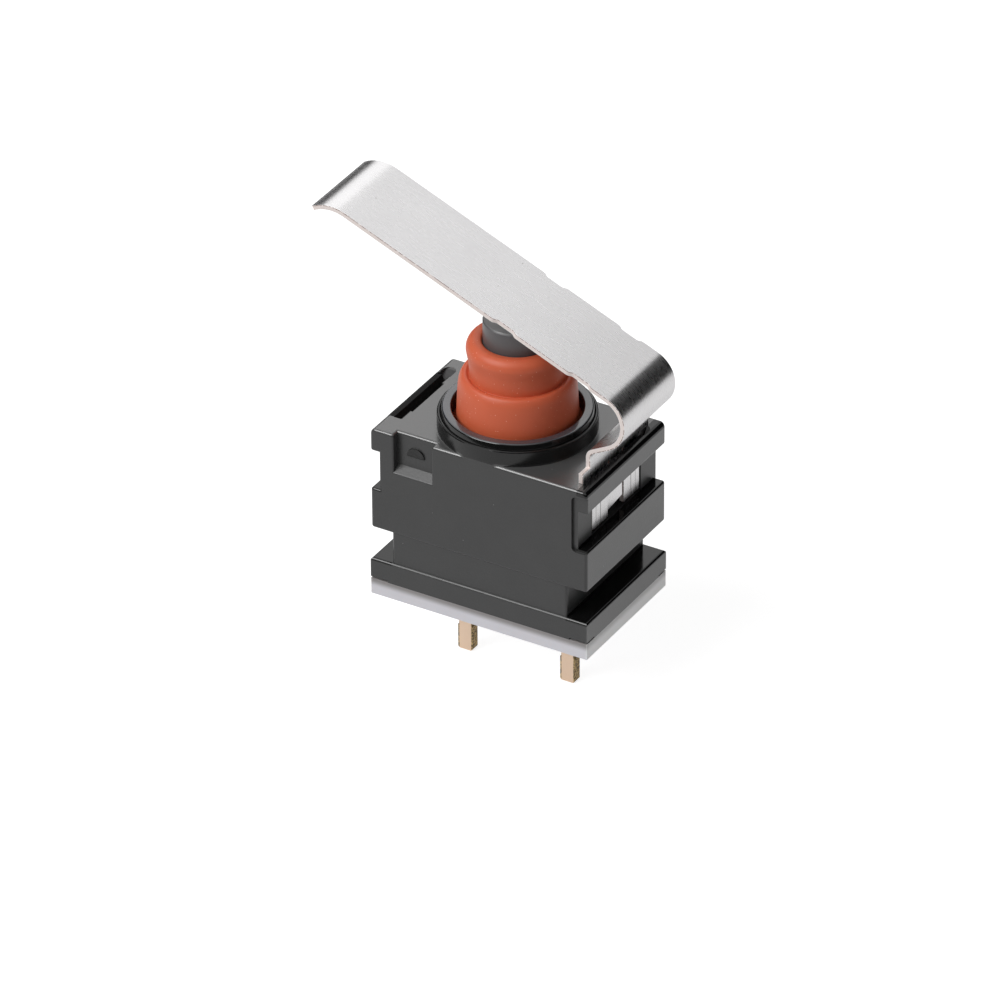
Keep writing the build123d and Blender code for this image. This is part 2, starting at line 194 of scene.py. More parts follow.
# %% [markdown]
# ## Shader helpers
#
# A finish is a small network of nodes. It could be drawn by hand in the shader editor, but a script
# can be read and repeated. The helpers below keep each line of it short: some add a node and fill
# its sockets, some do a sum with masks, and two mix colours or numbers. Effects that several
# finishes share are node groups with named inputs and outputs, built once and placed where they are
# needed.


# %% Helpers for node networks
def add_node(tree, kind, settings=None, **sockets):
    """Adds a node, sets its properties, then sets or links its input sockets by name."""
    made = tree.nodes.new(kind)
    for key, value in (settings or {}).items():
        setattr(made, key, value)
    return fill(tree, made, **sockets)


def feed(tree, socket, value):
    """Links an output socket, or sets a plain value."""
    if isinstance(value, bpy.types.NodeSocket):
        tree.links.new(value, socket)
    else:
        socket.default_value = value


def fill(tree, node, **sockets):
    """Feeds a node's inputs by name, with _ for a space."""
    for key, value in sockets.items():
        feed(tree, node.inputs[key.replace("_", " ")], value)
    return node


def axes(tree, where):
    """The coordinates of a place, apart, under the names X, Y and Z."""
    return add_node(tree, "ShaderNodeSeparateXYZ", None, Vector=where).outputs


def calc(tree, operation, *values):
    """One Math node; each value is a number or an output socket."""
    made = tree.nodes.new("ShaderNodeMath")
    made.operation = operation
    for socket, value in zip(made.inputs, values):
        feed(tree, socket, value)
    return made.outputs["Value"]


def blend_colour(tree, factor, first, second):
    """The first colour where factor is 0 and the second where it is 1."""
    made = tree.nodes.new("ShaderNodeMix")
    made.data_type = "RGBA"
    feed(tree, made.inputs["Factor"], factor)
    feed(tree, made.inputs[6], first)
    feed(tree, made.inputs[7], second)
    return made.outputs[2]


def blend_number(tree, factor, first, second):
    """The first number where factor is 0 and the second where it is 1."""
    made = tree.nodes.new("ShaderNodeMix")
    feed(tree, made.inputs["Factor"], factor)
    feed(tree, made.inputs[2], first)
    feed(tree, made.inputs[3], second)
    return made.outputs[0]


def product(tree, first, *others):
    """All the masks multiplied together."""
    for other in others:
        first = calc(tree, "MULTIPLY", first, other)
    return first


def largest(tree, first, *others):
    """The highest of the masks at each point."""
    for other in others:
        first = calc(tree, "MAXIMUM", first, other)
    return first


def opposite(tree, mask):
    """1 minus the mask."""
    return calc(tree, "SUBTRACT", 1.0, mask)


def new_group(name, inputs, outputs):
    """An empty node group. inputs and outputs map a socket's name to its type and, for inputs, a default."""
    group = bpy.data.node_groups.new(name, "ShaderNodeTree")
    for label, (kind, default) in inputs.items():
        socket = group.interface.new_socket(label, in_out="INPUT", socket_type="NodeSocket" + kind)
        if default is not None:
            socket.default_value = default
    for label, kind in outputs.items():
        group.interface.new_socket(label, in_out="OUTPUT", socket_type="NodeSocket" + kind)
    return group, group.nodes.new("NodeGroupInput").outputs, group.nodes.new("NodeGroupOutput").inputs


def place_group(tree, group, **sockets):
    """A copy of a node group inside a material, with its inputs set or linked."""
    made = tree.nodes.new("ShaderNodeGroup")
    made.node_tree = group
    return fill(tree, made, **sockets).outputs


def grey(value, tint=(1.0, 1.0, 1.0)):
    """A colour from one brightness and a slight tint, as four numbers."""
    return tuple(value * t for t in tint) + (1.0,)


# %% [markdown]
# ## Four shared effects
#
# * A band is 1 between two heights and fades out over a short way at both ends. It marks the zones
#   where a mould was polished.
# * Mould grain is the fine dimpled skin that spark-eroded steel leaves on plastic. It is noise at two
#   scales, with cells mixed in for the dimples.
# * Specks are the few pale grains of dust or filler that show on dark plastic and rubber. Each cell
#   of a Voronoi pattern holds one dot, and only a small share of the cells keeps its dot.
# * Rolling grain is noise pulled out along the strip, as cold rolling leaves it.


# %% Build the shared node groups
def band_group():
    """Mask = step up at Low times step down at High, both smooth over twice Soft."""
    group, given, result = new_group(
        "band_between",
        {"Value": ("Float", 0.0), "Low": ("Float", 0.0), "High": ("Float", 1.0), "Soft": ("Float", 0.1)},
        {"Mask": "Float"},
    )
    steps = []
    for limit in ("Low", "High"):
        step = add_node(
            group,
            "ShaderNodeMapRange",
            {"interpolation_type": "SMOOTHSTEP"},
            Value=given["Value"],
            From_Min=calc(group, "SUBTRACT", given[limit], given["Soft"]),
            From_Max=calc(group, "ADD", given[limit], given["Soft"]),
        )
        steps.append(step.outputs["Result"])
    feed(group, result["Mask"], product(group, steps[0], opposite(group, steps[1])))
    return group


def grain_group():
    """Height = coarse noise + half as much cell noise; Tone = slow noise that shifts the colour."""
    group, given, result = new_group(
        "mould_grain",
        {"Vector": ("Vector", None), "Scale": ("Float", 20000.0)},
        {"Height": "Float", "Tone": "Float"},
    )
    at, scale = given["Vector"], given["Scale"]
    soft = add_node(group, "ShaderNodeTexNoise", None, Vector=at, Scale=scale, Detail=3.0)
    cells = add_node(group, "ShaderNodeTexVoronoi", None, Vector=at, Scale=scale)
    slow_scale = calc(group, "MULTIPLY", scale, 0.045)
    slow = add_node(group, "ShaderNodeTexNoise", None, Vector=at, Scale=slow_scale, Detail=4.0)
    half_cells = calc(group, "MULTIPLY", cells.outputs["Distance"], 0.5)
    feed(group, result["Height"], calc(group, "ADD", soft.outputs["Fac"], half_cells))
    feed(group, result["Tone"], slow.outputs["Fac"])
    return group


def speck_group():
    """Mask = 1 inside a small dot in the cells whose random colour is below Share."""
    group, given, result = new_group(
        "pale_specks",
        {
            "Vector": ("Vector", None),
            "Scale": ("Float", 3000.0),
            "Size": ("Float", 0.12),
            "Share": ("Float", 0.2),
        },
        {"Mask": "Float"},
    )
    cells = add_node(group, "ShaderNodeTexVoronoi", None, Vector=given["Vector"], Scale=given["Scale"])
    chance = add_node(group, "ShaderNodeSeparateColor", None, Color=cells.outputs["Color"])
    kept = calc(group, "LESS_THAN", chance.outputs["Red"], given["Share"])
    edge = calc(group, "MULTIPLY", given["Size"], 0.45)
    dot = add_node(
        group,
        "ShaderNodeMapRange",
        {"interpolation_type": "SMOOTHSTEP"},
        Value=cells.outputs["Distance"],
        From_Min=given["Size"],
        From_Max=edge,
    )
    feed(group, result["Mask"], calc(group, "MULTIPLY", dot.outputs["Result"], kept))
    return group


def rolling_group():
    """Height and Tone = noise whose coordinates are squeezed across the strip and stretched along it."""
    group, given, result = new_group(
        "rolling_grain",
        {"Vector": ("Vector", None), "Along": ("Float", 900.0), "Across": ("Float", 26000.0)},
        {"Height": "Float", "Tone": "Float"},
    )
    apart = axes(group, given["Vector"])
    along = calc(group, "MULTIPLY", apart["X"], given["Along"])
    across = calc(group, "MULTIPLY", apart["Y"], given["Across"])
    up_along = calc(group, "MULTIPLY", apart["Z"], given["Along"])
    pulled = add_node(group, "ShaderNodeCombineXYZ", None, X=along, Y=across, Z=up_along)
    fine = add_node(group, "ShaderNodeTexNoise", None, Vector=pulled.outputs["Vector"], Scale=1.0, Detail=4.0)
    slow = add_node(group, "ShaderNodeTexNoise", None, Vector=given["Vector"], Scale=700.0, Detail=3.0)
    feed(group, result["Height"], fine.outputs["Fac"])
    feed(group, result["Tone"], slow.outputs["Fac"])
    return group


band_between = band_group()
mould_grain = grain_group()
pale_specks = speck_group()
rolling_grain = rolling_group()
print("shared effects:", [g.name for g in bpy.data.node_groups])

# %% [markdown]
# ## Starting and finishing a material
#
# Every finish begins with a Principled shader and the object's own coordinates. Camera or window
# coordinates would slide over the part in another view, and the export would lose them. Object
# coordinates stay with the piece, and since every piece stands at the origin they are also its
# places in the CAD model, so a mask can be written in the same millimetres as the drawing.


# %% Helpers that start and finish a material
def start_finish(name):
    """A new material: its node tree, its Principled shader and the object's own coordinates."""
    material = bpy.data.materials.new(name)
    material.use_nodes = True
    tree = material.node_tree
    shader = tree.nodes["Principled BSDF"]
    where = tree.nodes.new("ShaderNodeTexCoord").outputs["Object"]
    return material, tree, shader, where


def in_band(tree, value, low, high, soft):
    """Mask of a band; the limits are in millimetres and the value is in metres."""
    return place_group(tree, band_between, Value=value, Low=low * MM, High=high * MM, Soft=soft * MM)["Mask"]


def zone(tree, *limits):
    """Mask of a box or a ring: one band for each (value, low, high, soft), multiplied together."""
    return product(tree, *[in_band(tree, *limit) for limit in limits])


def flat_distance(tree, across, along):
    """Distance from the origin in a plane: the root of the sum of the two squares."""
    flat = add_node(tree, "ShaderNodeCombineXYZ", None, X=across, Y=along)
    reach = add_node(tree, "ShaderNodeVectorMath", {"operation": "LENGTH"})
    feed(tree, reach.inputs[0], flat.outputs["Vector"])
    return reach.outputs["Value"]


def add_bump(tree, shader, height, distance_mm, strength):
    """Feeds a height pattern to the shader's Normal; distance is the pattern's depth."""
    bump = add_node(tree, "ShaderNodeBump", None, Height=height, Strength=strength, Distance=distance_mm * MM)
    fill(tree, shader, Normal=bump.outputs["Normal"])
    return bump


def dress(obj, material):
    """Gives an object one material. A CAD node keeps its mesh, and only its slots change."""
    if not obj.data.materials:
        obj.data.materials.append(material)
    for number in range(len(obj.data.materials)):
        obj.data.materials[number] = material
    print(obj.name, "wears", material.name, "with", len(material.node_tree.nodes), "nodes")


# %% [markdown]
# ## Black case
#
# The case is glass-filled plastic, moulded in a tool whose outer faces were spark-eroded and whose
# ledges, slot edges and collar were polished. The eroded faces scatter light and look dark grey. The
# polished ones mirror the dark room and look black. Each face could have a material of its own, but
# the case is one CAD node, and its mesh isn't to be touched. So one material does it all: masks made
# from the position say where the tool was polished, and they change colour, gloss and grain there.

# %% Where the tool was polished
case_top, rib_top, flange_top = 6.43, 4.13, 1.39
body_x, groove_x, neck_x = 4.125, 3.75, 3.35
collar_bore, collar_outside = 2.57, 2.68

case_finish, tree, shader, where = start_finish("case_black")
x, y, z = axes(tree, where)
x_size, y_size = calc(tree, "ABSOLUTE", x), calc(tree, "ABSOLUTE", y)
from_axis = flat_distance(tree, x, y)

slot_edge = zone(
    tree, (x, groove_x - 0.02, body_x + 0.075, 0.02), (z, case_top - 0.19, case_top + 0.07, 0.02)
)
rib_ledge = zone(
    tree, (x_size, groove_x - 0.05, body_x + 0.015, 0.02), (z, rib_top - 0.07, rib_top + 0.07, 0.02)
)
flange_ledge = zone(
    tree, (x_size, neck_x - 0.01, body_x + 0.015, 0.02), (z, flange_top - 0.10, flange_top + 0.06, 0.02)
)
collar_wall = zone(
    tree,
    (from_axis, collar_bore - 0.12, collar_outside + 0.04, 0.01),
    (z, case_top + 0.01, case_high[2] + 0.2, 0.02),
)
polished = largest(tree, slot_edge, rib_ledge, flange_ledge, collar_wall)
print("polished ledges at z", [flange_top, rib_top], "mm, slot edge at", case_top, "mm")

# %% [markdown]
# Three more places differ. The empty slot at the left is dull, and its inside is painted near black, a
# painted shade for the deep recess. The flat top was moulded against smoother steel, so it is satin
# and mirrors more of the light. The gate, where the plastic flowed in, is a half disc in the front
# pocket with a torn, dark face. The gate's mask is the distance from its middle, cut off below by a
# straight band.

# %% The empty slot, the flat top and the gate
slot_inner_x, slot_half_y, slot_floor = 3.50, 1.60, 4.20
empty_slot = zone(
    tree,
    (x, -body_x - 0.075, -slot_inner_x, 0.02),
    (z, slot_floor, case_top + 0.07, 0.02),
    (y_size, -1.0, slot_half_y, 0.02),
)
top_face = zone(
    tree, (z, case_top - 0.045, case_top + 0.07, 0.02), (y_size, -1.0, case_high[1] - 0.04, 0.02)
)
top_face = product(tree, top_face, opposite(tree, empty_slot), opposite(tree, slot_edge))

gate_x, gate_z, gate_radius, pocket_y = -2.525, 5.63, 0.335, -2.325
gate_right = calc(tree, "SUBTRACT", x, gate_x * MM)
gate_up = calc(tree, "SUBTRACT", z, gate_z * MM)
gate_reach = flat_distance(tree, gate_right, gate_up)
gate = zone(
    tree,
    (gate_reach, -1.0, gate_radius, 0.01),
    (gate_up, 0.01, 1.0, 0.02),
    (y, pocket_y - 0.095, pocket_y + 0.045, 0.005),
)
bare = largest(tree, polished, empty_slot, gate)
print("the gate's middle is at x", gate_x, "and z", gate_z, "mm")

# %% [markdown]
# The colour is nearly black everywhere, and a slow noise moves it between two close tones, as
# unevenly mixed glass fibre does. The flat top is painted a lighter grey, a painted sheen for the
# light it catches. A few pale specks of dust lie on the eroded faces. The skin that the plastic
# forms against the steel is a clear coat, stronger on the end faces and on the top.

# %% Case colour and gloss
grain = place_group(tree, mould_grain, Vector=where, Scale=16000.0)
specks = place_group(tree, pale_specks, Vector=where, Scale=3400.0, Size=0.08, Share=0.07)["Mask"]
moulded = blend_colour(tree, grain["Tone"], grey(0.021, (1.0, 1.0, 1.02)), grey(0.034, (1.0, 1.0, 1.01)))
# painted sheen: the flat top's grey is lighter than the rest of the case
moulded = blend_colour(tree, top_face, moulded, grey(0.07))
# painted shade: the empty slot's inside is made near black, as are the polished places and the gate
black = blend_colour(tree, bare, moulded, grey(0.004))
eroded = opposite(tree, polished)
speck_amount = product(tree, specks, 0.30, eroded)
fill(tree, shader, Base_Color=blend_colour(tree, speck_amount, black, grey(0.42)))

rough_skin = blend_number(tree, top_face, blend_number(tree, grain["Tone"], 0.32, 0.46), 0.25)
shine = blend_number(tree, collar_wall, blend_number(tree, polished, rough_skin, 0.13), 0.26)
fill(tree, shader, Roughness=blend_number(tree, empty_slot, shine, 0.95))
end_face = in_band(tree, x_size, body_x - 0.015, 9.0, 0.01)
skin = product(tree, opposite(tree, bare), blend_number(tree, end_face, 0.22, 0.75))
fill(tree, shader, Coat_Weight=largest(tree, skin, top_face), Coat_Roughness=0.22)

# %% [markdown]
# The relief is the eroded grain, almost flat on the satin top and much coarser on the torn gate. The
# collar needs one thing more. Its CAD mesh is a ring of flat strips, and a polished wall would show
# each strip as a stripe. Its normals are therefore turned to point straight away from the axis,
# which is where a truly round wall faces.

# %% Case relief
torn = place_group(tree, mould_grain, Vector=where, Scale=5200.0)["Height"]
fine_depth = product(tree, eroded, blend_number(tree, top_face, 1.0, 0.18))
relief = calc(tree, "ADD", product(tree, grain["Height"], fine_depth), product(tree, torn, gate, 9.0))
bump = add_bump(tree, shader, relief, 0.006, 0.5)

outward = add_node(tree, "ShaderNodeVectorMath", {"operation": "NORMALIZE"})
flat_spot = add_node(tree, "ShaderNodeCombineXYZ", None, X=x, Y=y)
feed(tree, outward.inputs[0], flat_spot.outputs["Vector"])
below_rim = product(tree, collar_wall, in_band(tree, z, case_top - 0.03, case_high[2] - 0.05, 0.01))
turned = add_node(tree, "ShaderNodeMix", {"data_type": "VECTOR"}, Factor=below_rim)
feed(tree, turned.inputs[4], tree.nodes.new("ShaderNodeNewGeometry").outputs["Normal"])
feed(tree, turned.inputs[5], outward.outputs["Vector"])
fill(tree, bump, Normal=turned.outputs[1])
dress(nodes["case"], case_finish)

# %% [markdown]
# ## Pale plate
#
# The plate is a light grey moulding, a little translucent. Close under the case it lies in the shade of
# the overhang, and a mask on the height darkens its upper edge there: painted shade. A thin scattering
# layer only softens the shadows. The end face was moulded against polished steel, so it has a clear
# coat, and its colour is painted lighter, a painted light for the end that the main lamp leaves in
# shade.

# %% Plate finish
plate_high = span_of("base")[1]
plate_top = case_low[2]
plate_finish, tree, shader, where = start_finish("plate_pale")
grain = place_group(tree, mould_grain, Vector=where, Scale=14000.0)
spot = axes(tree, where)
# painted shade: the upper edge under the case's overhang is darkened in the colour
near_case = in_band(tree, spot["Z"], plate_top - 0.18, plate_top + 1.0, 0.13)
right_end = in_band(tree, spot["X"], plate_high[0] - 0.03, plate_high[0] + 1.0, 0.02)
pale = blend_colour(tree, grain["Tone"], (0.62, 0.61, 0.65, 1.0), (0.69, 0.68, 0.72, 1.0))
# painted light: the end face is made paler because the main lamp leaves it in shade
pale = blend_colour(tree, right_end, pale, (0.97, 0.96, 0.965, 1.0))
shade = product(tree, near_case, blend_number(tree, right_end, 0.9, 0.6))
fill(
    tree,
    shader,
    Base_Color=blend_colour(tree, shade, pale, (0.22, 0.205, 0.20, 1.0)),
    Roughness=blend_number(tree, grain["Tone"], 0.38, 0.52),
    Coat_Weight=right_end,
    Subsurface_Weight=0.35,
    Subsurface_Radius=(1.0, 0.8, 0.7),
    Subsurface_Scale=0.1 * MM,
)
add_bump(tree, shader, grain["Height"], 0.003, 0.3)
dress(nodes["base"], plate_finish)

# %% [markdown]
# ## Legs
#
# Each leg is blanked from plated strip. Its broad faces are smooth and pale, and its narrow faces are
# the sheared ones: rougher, darker and mottled where the plating is thin. The faces could be told
# apart by their normals, but the chamfers would then show as stray patches. The distance from the
# leg's own middle is steadier, so the mask for the sheared faces is a band on that.

# %% Leg finish
leg_spans = {name: span_of(name) for name in ("terminal_common", "terminal_switched")}
leg_middle = {name: float(low[0] + high[0]) / 2 for name, (low, high) in leg_spans.items()}
leg_half = float(leg_spans["terminal_common"][1][0]) - leg_middle["terminal_common"]


def leg_finish(name, middle):
    """Plated strip with sheared narrow faces; middle is the leg's centre along X in millimetres."""
    material, tree, shader, where = start_finish(name)
    off_middle = calc(tree, "ABSOLUTE", calc(tree, "SUBTRACT", axes(tree, where)["X"], middle * MM))
    sheared = in_band(tree, off_middle, leg_half * 0.83, leg_half * 1.3, 0.008)
    grain = place_group(tree, mould_grain, Vector=where, Scale=9000.0)
    streaks = place_group(tree, mould_grain, Vector=where, Scale=15000.0)
    broad = blend_colour(tree, grain["Tone"], (0.90, 0.665, 0.485, 1.0), (1.0, 0.76, 0.57, 1.0))
    blot = add_node(tree, "ShaderNodeMapRange", None, Value=streaks["Height"], From_Min=0.60, From_Max=0.86)
    narrow = blend_colour(tree, blot.outputs["Result"], (0.075, 0.045, 0.016, 1.0), (0.62, 0.44, 0.20, 1.0))
    colour = blend_colour(tree, sheared, broad, narrow)
    fill(tree, shader, Base_Color=colour, Roughness=blend_number(tree, sheared, 0.36, 0.5), Metallic=0.55)
    add_bump(tree, shader, blend_number(tree, sheared, grain["Height"], streaks["Height"]), 0.012, 0.4)
    return material


for leg, middle in leg_middle.items():
    dress(nodes[leg], leg_finish(leg + "_plated", middle))
print("leg middles in mm:", {k: round(v, 2) for k, v in leg_middle.items()})

# %% [markdown]
# ## Sealing beads
#
# Epoxy is poured into a shallow well round each leg on the underside and sets with a slightly glossy,
# uneven skin. The camera never sees it, but the underside is part of the object. The CAD solid has
# the right shape, so it only needs a dark colour and slow, shallow bumps like a liquid that has set.

# %% Sealing bead finish
bead_finish, tree, shader, where = start_finish("bead_epoxy")
grain = place_group(tree, mould_grain, Vector=where, Scale=7000.0)
epoxy = blend_colour(tree, grain["Tone"], grey(0.02), grey(0.05, (1.0, 0.95, 0.85)))
fill(tree, shader, Base_Color=epoxy, Roughness=blend_number(tree, grain["Tone"], 0.12, 0.3))
add_bump(tree, shader, grain["Tone"], 0.03, 0.4)
for bead in ("seal_common", "seal_switched"):
    dress(nodes[bead], bead_finish)

# %% [markdown]
# ## Retaining ring
#
# The ring is snapped into the collar and holds the rubber down. The CAD ring has plain chamfers, and
# a bevel could round them, but a chamfer and its bevel give uneven highlights. A ring turned from an
# outline with true arcs has the thin, even highlights of the real one, so it replaces the CAD ring.

# %% Turn the retaining ring
ring_low, ring_high = span_of("retaining_ring")
ring_outer, ring_inner = ring_high[0], 2.20
ring_bottom, ring_top = ring_low[2], ring_high[2]
shoulder_in, shoulder_down = 0.055, 0.19
ring_outline = rounded_outline(
    (
        (ring_inner, ring_bottom),
        (ring_outer, ring_bottom),
        (ring_outer, ring_top - shoulder_down),
        (ring_outer - shoulder_in, ring_top),
        (ring_inner, ring_top),
    ),
    (0.02, 0.02, 0.06, 0.07, 0.05),
    8,
)
ring = make_piece("retaining_ring_turned", *lathe(ring_outline, 192))
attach(ring, "housing")
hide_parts("retaining_ring")

# %% [markdown]
# The ring's top is flat and satin with a clear skin, so it mirrors the pale studio softly, while its
# rounded rims stay black. The top's colour is also painted a lighter blue grey, a painted sheen. A
# band on the height is enough to tell them apart.

# %% Ring finish
ring_finish, tree, shader, where = start_finish("ring_black_satin")
on_top = in_band(tree, axes(tree, where)["Z"], ring_top - 0.015, ring_top + 0.1, 0.006)
grain = place_group(tree, mould_grain, Vector=where, Scale=22000.0)
# painted sheen: the top is given a lighter, bluish grey than the black rims
satin = blend_colour(tree, on_top, grey(0.006), grey(0.055, (0.86, 0.97, 1.12)))
fill(tree, shader, Base_Color=satin, Roughness=blend_number(tree, on_top, 0.12, 0.2))
fill(tree, shader, Coat_Weight=on_top, Coat_Roughness=0.12)
add_bump(tree, shader, grain["Height"], 0.003, 0.15)
dress(ring, ring_finish)

# %% [markdown]
# ## Rubber cap
#
# The cap is one bell on another. The lower bell leaves the ring almost straight, rounds over and
# drops into a crease. The upper bell swells a little and ends in a soft rim round the plunger. A
# sculpted mesh could do this, but a moulded cap is round, so a turned outline is exact and short. The
# outside is a smooth curve through a few measured points, and the inside follows it one wall
# thickness in, so that the rubber has real thickness where it meets the plunger.


# %% Turn the rubber cap
def smooth_through(points, per_span=10):
    """A Catmull-Rom curve: each span is a cubic whose end slopes are half the step between the
    neighbours on both sides."""
    p = np.asarray(points, float)
    before = np.vstack((2 * p[0] - p[1], p[:-1]))[:-1]
    after = np.vstack((p[1:], 2 * p[-1] - p[-2]))[1:]
    first, last = p[:-1], p[1:]
    t = np.linspace(0.0, 1.0, per_span, endpoint=False)[None, :, None]
    slope_first = (last - before)[:, None] / 2
    slope_last = (after - first)[:, None] / 2
    first, last = first[:, None], last[:, None]
    curve = (
        (2 * t**3 - 3 * t**2 + 1) * first
        + (t**3 - 2 * t**2 + t) * slope_first
        + (3 * t**2 - 2 * t**3) * last
        + (t**3 - t**2) * slope_last
    )
    return np.vstack((curve.reshape(-1, 2), p[-1]))


cap_low, cap_high = span_of("rubber_cap")
cap_floor, cap_crown = cap_low[2], cap_high[2]
cap_flange = cap_high[0]
pin_radius = 1.15
hole_radius = pin_radius + 0.015
cap_outside = smooth_through(
    (
        (2.06, ring_bottom),
        (2.035, 6.95),
        (2.02, 7.25),
        (2.0, 7.7),
        (1.972, 8.08),
        (1.93, 8.30),
        (1.84, 8.455),
        (1.72, 8.49),
        (1.635, 8.445),
        (1.602, 8.44),
        (1.597, 8.52),
        (1.612, 8.75),
        (1.645, 9.05),
        (1.69, 9.30),
        (1.705, 9.45),
        (1.67, 9.60),
        (1.58, 9.72),
        (1.46, 9.785),
        (1.35, cap_crown - 0.01),
        (1.25, 9.775),
        (1.19, 9.735),
        (hole_radius, 9.68),
    ),
    8,
)
cap_inner, cap_chamfer = 1.72, 0.03
cap_inside = smooth_through(
    (
        (hole_radius, 9.30),
        (1.30, 9.12),
        (1.35, 8.90),
        (1.33, 8.30),
        (1.55, 8.10),
        (1.66, 7.80),
        (cap_inner, 7.2),
    ),
    6,
)
cap_flange_outline = np.array(
    (
        (cap_inner, cap_floor),
        (cap_flange - cap_chamfer, cap_floor),
        (cap_flange, cap_floor + cap_chamfer),
        (cap_flange, ring_bottom),
    )
)
cap_outline = np.vstack((cap_flange_outline, cap_outside, cap_inside))
cap = make_piece("rubber_cap_soft", *lathe(cap_outline, 160))
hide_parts("rubber_cap")
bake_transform(cap)

# %% [markdown]
# The rubber is matt, and holds a few pale grains of filler that never mix in. A little scattering
# under the surface keeps its shaded side warm. The specks could be painted one by one, but a pattern
# of cells that keeps only some of its dots scatters them evenly over a surface of any shape.

# %% Rubber finish
rubber_finish, tree, shader, where = start_finish("rubber_orange")
grain = place_group(tree, mould_grain, Vector=where, Scale=11000.0)
specks = place_group(tree, pale_specks, Vector=where, Scale=7600.0, Size=0.14, Share=0.55)["Mask"]
orange = blend_colour(tree, grain["Tone"], (0.52, 0.096, 0.040, 1.0), (0.64, 0.132, 0.058, 1.0))
orange = blend_colour(tree, product(tree, specks, 0.6), orange, (0.95, 0.55, 0.42, 1.0))
fill(
    tree,
    shader,
    Base_Color=orange,
    Roughness=blend_number(tree, grain["Tone"], 0.40, 0.52),
    Subsurface_Weight=0.15,
    Subsurface_Radius=(1.0, 0.3, 0.15),
    Subsurface_Scale=0.15 * MM,
    Specular_IOR_Level=0.4,
)
add_bump(tree, shader, grain["Height"], 0.004, 0.25)
dress(cap, rubber_finish)

# %% [markdown]
# ## Plunger
#
# The plunger is a smooth dark grey pin. Its flat top is painted paler, a painted light for the glow that
# the leaf reflects down onto it. The CAD solid has the pin's exact shape, so it stays, and a band at
# its top edge adds the painted light.

# %% Plunger finish
pin_high = span_of("plunger")[1]
pin_finish, tree, shader, where = start_finish("plunger_grey")
# painted light: the pin's top is made paler for the light the leaf reflects down onto it
pin_top_painted_light = in_band(tree, axes(tree, where)["Z"], pin_high[2] - 0.02, pin_high[2] + 0.1, 0.01)
grain = place_group(tree, mould_grain, Vector=where, Scale=18000.0)
colour = blend_colour(tree, pin_top_painted_light, grey(0.085, (1.0, 0.97, 1.0)), grey(0.16))
fill(tree, shader, Base_Color=colour, Roughness=blend_number(tree, pin_top_painted_light, 0.36, 0.30))
add_bump(tree, shader, grain["Height"], 0.004, 0.25)
dress(nodes["plunger"], pin_finish)

# %% [markdown]
# ## Contact clip
#
# The clip sits inside the case, where nobody sees it until the part is cut open in a drawing. It is
# stamped from spring alloy with a thin layer of gold, so it is a metal with a fine rolling grain.

# %% Clip finish
clip_finish, tree, shader, where = start_finish("clip_gold")
rolled = place_group(tree, rolling_grain, Vector=where, Along=1500.0, Across=30000.0)
gold = blend_colour(tree, rolled["Tone"], (0.78, 0.52, 0.18, 1.0), (0.9, 0.66, 0.3, 1.0))
fill(tree, shader, Base_Color=gold, Roughness=blend_number(tree, rolled["Height"], 0.18, 0.34), Metallic=1.0)
add_bump(tree, shader, rolled["Height"], 0.002, 0.2)
dress(nodes["contact_clip"], clip_finish)

# %% [markdown]
# ## Return spring
#
# The coil pushes the plunger up. A curve with a round bevel could draw it, but the first and last
# turns of a real compression spring lie closed. So the wire is carried along a helix whose rise per
# turn is small at both ends and larger between them.

# %% Wind the return spring
spring_low, spring_high = span_of("return_spring")
wire_radius = 0.085
coil_radius = spring_high[0] - 0.09
coil_turns = 6.5


def wound_wire(low, high, radius, wire, turns, steps_per_turn=32, sides=10):
    """A helix whose height follows turns eased at both ends, with a round section set on the outward
    and the steep direction at each point."""
    turn = np.linspace(0.0, turns, int(turns * steps_per_turn))
    share = np.clip((turn - 0.8) / (turns - 1.6), 0.0, 1.0)
    eased = 0.04 * turn / turns + 0.96 * (share * share * (3.0 - 2.0 * share) * 0.3 + share * 0.7)
    angle = 2.0 * np.pi * turn
    height = low + (high - low) * eased
    centre = np.stack((radius * np.cos(angle), radius * np.sin(angle), height), axis=1)
    ahead = np.gradient(centre, axis=0)
    ahead /= np.linalg.norm(ahead, axis=1, keepdims=True)
    outward = np.stack((np.cos(angle), np.sin(angle), np.zeros_like(angle)), axis=1)
    steep = np.cross(ahead, outward)
    around = np.linspace(0.0, 2.0 * np.pi, sides, endpoint=False)[None, :, None]
    section = np.cos(around) * outward[:, None] + np.sin(around) * steep[:, None]
    points = (centre[:, None] + wire * section).reshape(-1, 3)
    faces = grid_quads(len(turn), sides, False, True)[:, ::-1].tolist()
    faces.append(list(range(sides)))
    faces.append(list(range(len(points) - 1, len(points) - sides - 1, -1)))
    return points, faces


coil_low, coil_high = spring_low[2] + wire_radius, spring_high[2] - wire_radius
coil = wound_wire(coil_low, coil_high, coil_radius, wire_radius, coil_turns)
spring = make_piece("return_spring_wound", *coil)
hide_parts("return_spring")
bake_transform(spring)

# %% [markdown]
# Drawn wire is bright, with faint clouds in its tone and almost no relief.

# %% Spring finish
wire_finish, tree, shader, where = start_finish("spring_wire")
grain = place_group(tree, mould_grain, Vector=where, Scale=20000.0)
wire = blend_colour(tree, grain["Tone"], grey(0.48), grey(0.62))
fill(tree, shader, Base_Color=wire, Roughness=blend_number(tree, grain["Tone"], 0.2, 0.34), Metallic=1.0)
add_bump(tree, shader, grain["Height"], 0.002, 0.2)
dress(spring, wire_finish)

